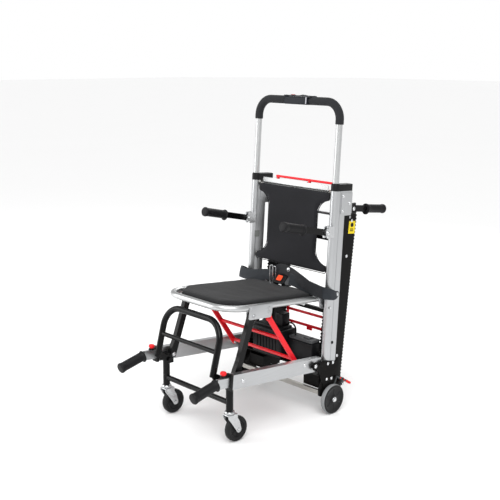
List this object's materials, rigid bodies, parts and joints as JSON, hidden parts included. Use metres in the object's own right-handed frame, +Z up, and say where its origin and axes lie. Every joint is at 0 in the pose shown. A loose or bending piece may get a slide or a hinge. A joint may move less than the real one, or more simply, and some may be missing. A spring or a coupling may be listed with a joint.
{
  "type": "folding stair chair",
  "caption": "Folding evacuation stair chair with carry handles, telescopic push handle, casters and powered stair tracks behind the back.",
  "frame": {"origin": "on the ground under the centre of the chair's box", "axes": "+Z up; -Y is the way the seated person faces; +X is that person's left"},
  "size_m": [0.552, 1.0482, 1.2796],
  "materials": {
    "aluminium": "satin anodised",
    "bright_steel": "zinc plated",
    "black_steel": "satin black powder coat",
    "red_steel": "gloss red powder coat",
    "black_plastic": "fine grain",
    "foam": "foam rubber",
    "grip_rubber": "moulded",
    "tyre": "moulded",
    "wheel": "moulded",
    "pad_fabric": "woven",
    "webbing": "woven webbing",
    "panel_fabric": "coated weave",
    "red_plastic": "gloss",
    "orange_plastic": "gloss",
    "belt_rubber": "moulded"
  },
  "bodies": {
    "frame": {"upright_left": "aluminium", "upright_right": "aluminium", "upright_caps": "black_plastic", "upright_rear_boxes": "aluminium", "back_crossbars": "aluminium", "back_panel": "panel_fabric", "rear_plates": "black_steel", "base_brackets": "black_steel", "frame_fasteners": "bright_steel", "armrest_brackets": "bright_steel", "rear_handle_brackets": "black_steel", "motor_housing": "black_plastic", "battery_box": "black_plastic", "ribbed_crossbar": "aluminium", "motor_cable": "black_plastic"},
    "push_handle": {"push_handle_tube": "aluminium", "push_handle_foam": "foam", "control_box": "black_plastic"},
    "power_button": {"power_button": "red_plastic"},
    "direction_switch": {"direction_switch": "black_plastic"},
    "release_bar": {"release_bar": "red_steel"},
    "armrest_left": {"armrest_bar_left": "black_steel", "armrest_grip_left": "grip_rubber"},
    "armrest_right": {"armrest_bar_right": "black_steel", "armrest_grip_right": "grip_rubber"},
    "rear_handle_left": {"rear_handle_bar_left": "black_steel", "rear_handle_grip_left": "grip_rubber"},
    "rear_handle_right": {"rear_handle_bar_right": "black_steel", "rear_handle_grip_right": "grip_rubber"},
    "seat": {"seat_frame": "aluminium", "seat_brackets": "aluminium", "seat_pad": "pad_fabric", "seat_belt": "webbing", "belt_buckle": "black_plastic"},
    "buckle_button": {"buckle_button": "orange_plastic"},
    "rails": {"side_rails": "aluminium", "rail_endcaps": "black_plastic", "rail_pivots": "bright_steel"},
    "legs": {"front_legs": "black_steel"},
    "brace": {"red_brace": "red_steel"},
    "footrest": {"footrest_frame": "black_steel"},
    "front_handle_left": {"front_handle_bar_left": "aluminium", "front_handle_grip_left": "grip_rubber"},
    "front_handle_right": {"front_handle_bar_right": "aluminium", "front_handle_grip_right": "grip_rubber"},
    "knob_left": {"handle_knob_left": "red_plastic"},
    "knob_right": {"handle_knob_right": "red_plastic"},
    "caster_left": {"caster_fork_left": "bright_steel"},
    "caster_right": {"caster_fork_right": "bright_steel"},
    "caster_wheel_left": {"caster_wheel_left": "tyre"},
    "caster_wheel_right": {"caster_wheel_right": "tyre"},
    "rear_wheel_left": {"rear_wheel_left": "wheel"},
    "rear_wheel_right": {"rear_wheel_right": "wheel"},
    "brake_left": {"brake_left": "red_steel"},
    "brake_right": {"brake_right": "red_steel"},
    "tracks": {"track_frame": "black_steel", "track_belts": "belt_rubber"},
    "drive_shaft": {"drive_shaft": "bright_steel"},
    "idler_rollers": {"idler_rollers": "bright_steel"},
    "track_pedal": {"track_pedal": "red_steel"}
  },
  "joints": [
    {"name": "push_handle_slide", "type": "slide", "parent": "frame", "child": "push_handle", "axis": [0, 0.0567, 0.9984], "range_m": [-0.22, 0]},
    {"name": "power_press", "type": "slide", "parent": "push_handle", "child": "power_button", "axis": [0, -0.0567, -0.9984], "range_m": [0, 0.002], "stiffness_N_per_m": 500},
    {"name": "direction_rocker", "type": "hinge", "parent": "push_handle", "child": "direction_switch", "pos_m": [0.027, 0.23613, 1.27317], "axis": [0, 0.9984, -0.0567], "range_deg": [-6, 6]},
    {"name": "release_pull", "type": "hinge", "parent": "frame", "child": "release_bar", "pos_m": [0, 0.23374, 0.92233], "axis": [-1, 0, 0], "range_deg": [0, 20], "stiffness_Nm_per_rad": 1},
    {"name": "armrest_left_fold", "type": "hinge", "parent": "frame", "child": "armrest_left", "pos_m": [0.225, 0.16323, 0.752], "axis": [-1, 0, 0], "range_deg": [0, 75]},
    {"name": "rear_handle_left_fold", "type": "hinge", "parent": "frame", "child": "rear_handle_left", "pos_m": [0.225, 0.31323, 0.832], "axis": [-1, 0, 0], "range_deg": [0, 85]},
    {"name": "armrest_right_fold", "type": "hinge", "parent": "frame", "child": "armrest_right", "pos_m": [-0.225, 0.16323, 0.752], "axis": [-1, 0, 0], "range_deg": [0, 75]},
    {"name": "rear_handle_right_fold", "type": "hinge", "parent": "frame", "child": "rear_handle_right", "pos_m": [-0.225, 0.31323, 0.832], "axis": [-1, 0, 0], "range_deg": [0, 85]},
    {"name": "seat_fold", "type": "hinge", "parent": "frame", "child": "seat", "pos_m": [0, 0.18177, 0.44444], "axis": [-1, 0, 0], "range_deg": [0, 62], "deforming": ["seat_belt"]},
    {"name": "buckle_press", "type": "slide", "parent": "seat", "child": "buckle_button", "axis": [0, 0.7314, -0.682], "range_m": [0, 0.003], "stiffness_N_per_m": 400},
    {"name": "rail_fold", "type": "hinge", "parent": "frame", "child": "rails", "pos_m": [0, 0.09877, 0.21845], "axis": [-1, 0, 0], "range_deg": [0, 62]},
    {"name": "leg_fold", "type": "hinge", "parent": "rails", "child": "legs", "pos_m": [0, -0.28477, 0.252], "axis": [-1, 0, 0], "range_deg": [-62, 0]},
    {"name": "brace_fold", "type": "hinge", "parent": "rails", "child": "brace", "pos_m": [0, 0.04923, 0.232], "axis": [-1, 0, 0], "range_deg": [-26.04, 0]},
    {"name": "footrest_flip", "type": "hinge", "parent": "legs", "child": "footrest", "pos_m": [0, -0.31377, 0.24], "axis": [1, 0, 0], "range_deg": [0, 85]},
    {"name": "front_handle_left_slide", "type": "slide", "parent": "rails", "child": "front_handle_left", "axis": [0, -0.9962, 0.0872], "range_m": [0, 0.1]},
    {"name": "knob_left_pull", "type": "slide", "parent": "rails", "child": "knob_left", "axis": [0, 0.0872, 0.9962], "range_m": [0, 0.007], "stiffness_N_per_m": 600},
    {"name": "caster_left_swivel", "type": "hinge", "parent": "legs", "child": "caster_left", "pos_m": [0.19, -0.31377, 0.12], "axis": [0, 0, 1], "continuous": true},
    {"name": "caster_wheel_left_spin", "type": "hinge", "parent": "caster_left", "child": "caster_wheel_left", "pos_m": [0.19, -0.28177, 0.05], "axis": [1, 0, 0], "continuous": true},
    {"name": "rear_wheel_left_spin", "type": "hinge", "parent": "frame", "child": "rear_wheel_left", "pos_m": [0.259, 0.18923, 0.0615], "axis": [1, 0, 0], "continuous": true},
    {"name": "brake_left_press", "type": "hinge", "parent": "frame", "child": "brake_left", "pos_m": [0.255, 0.24823, 0.112], "axis": [-1, 0, 0], "range_deg": [-3, 10]},
    {"name": "front_handle_right_slide", "type": "slide", "parent": "rails", "child": "front_handle_right", "axis": [0, -0.9962, 0.0872], "range_m": [0, 0.1]},
    {"name": "knob_right_pull", "type": "slide", "parent": "rails", "child": "knob_right", "axis": [0, 0.0872, 0.9962], "range_m": [0, 0.007], "stiffness_N_per_m": 600},
    {"name": "caster_right_swivel", "type": "hinge", "parent": "legs", "child": "caster_right", "pos_m": [-0.19, -0.31377, 0.12], "axis": [0, 0, 1], "continuous": true},
    {"name": "caster_wheel_right_spin", "type": "hinge", "parent": "caster_right", "child": "caster_wheel_right", "pos_m": [-0.19, -0.28177, 0.05], "axis": [1, 0, 0], "continuous": true},
    {"name": "rear_wheel_right_spin", "type": "hinge", "parent": "frame", "child": "rear_wheel_right", "pos_m": [-0.259, 0.18923, 0.0615], "axis": [1, 0, 0], "continuous": true},
    {"name": "brake_right_press", "type": "hinge", "parent": "frame", "child": "brake_right", "pos_m": [-0.255, 0.24823, 0.112], "axis": [-1, 0, 0], "range_deg": [-3, 10]},
    {"name": "track_fold", "type": "hinge", "parent": "frame", "child": "tracks", "pos_m": [0, 0.26223, 0.125], "axis": [-1, 0, 0], "range_deg": [0, 60]},
    {"name": "idler_spin", "type": "hinge", "parent": "tracks", "child": "idler_rollers", "pos_m": [0, 0.3368, 0.78983], "axis": [1, 0, 0], "continuous": true},
    {"name": "drive_spin", "type": "hinge", "parent": "tracks", "child": "drive_shaft", "pos_m": [0, 0.26223, 0.125], "axis": [1, 0, 0], "continuous": true},
    {"name": "pedal_swing", "type": "hinge", "parent": "tracks", "child": "track_pedal", "pos_m": [0, 0.3338, 0.35043], "axis": [1, 0, 0], "range_deg": [0, 55]}
  ],
  "couplings": [
    {"joint": "rail_fold", "follows": "seat_fold", "ratio": 1},
    {"joint": "leg_fold", "follows": "seat_fold", "ratio": -1},
    {"joint": "brace_fold", "follows": "seat_fold", "ratio": -0.42},
    {"joint": "idler_spin", "follows": "drive_spin", "ratio": 1}
  ]
}
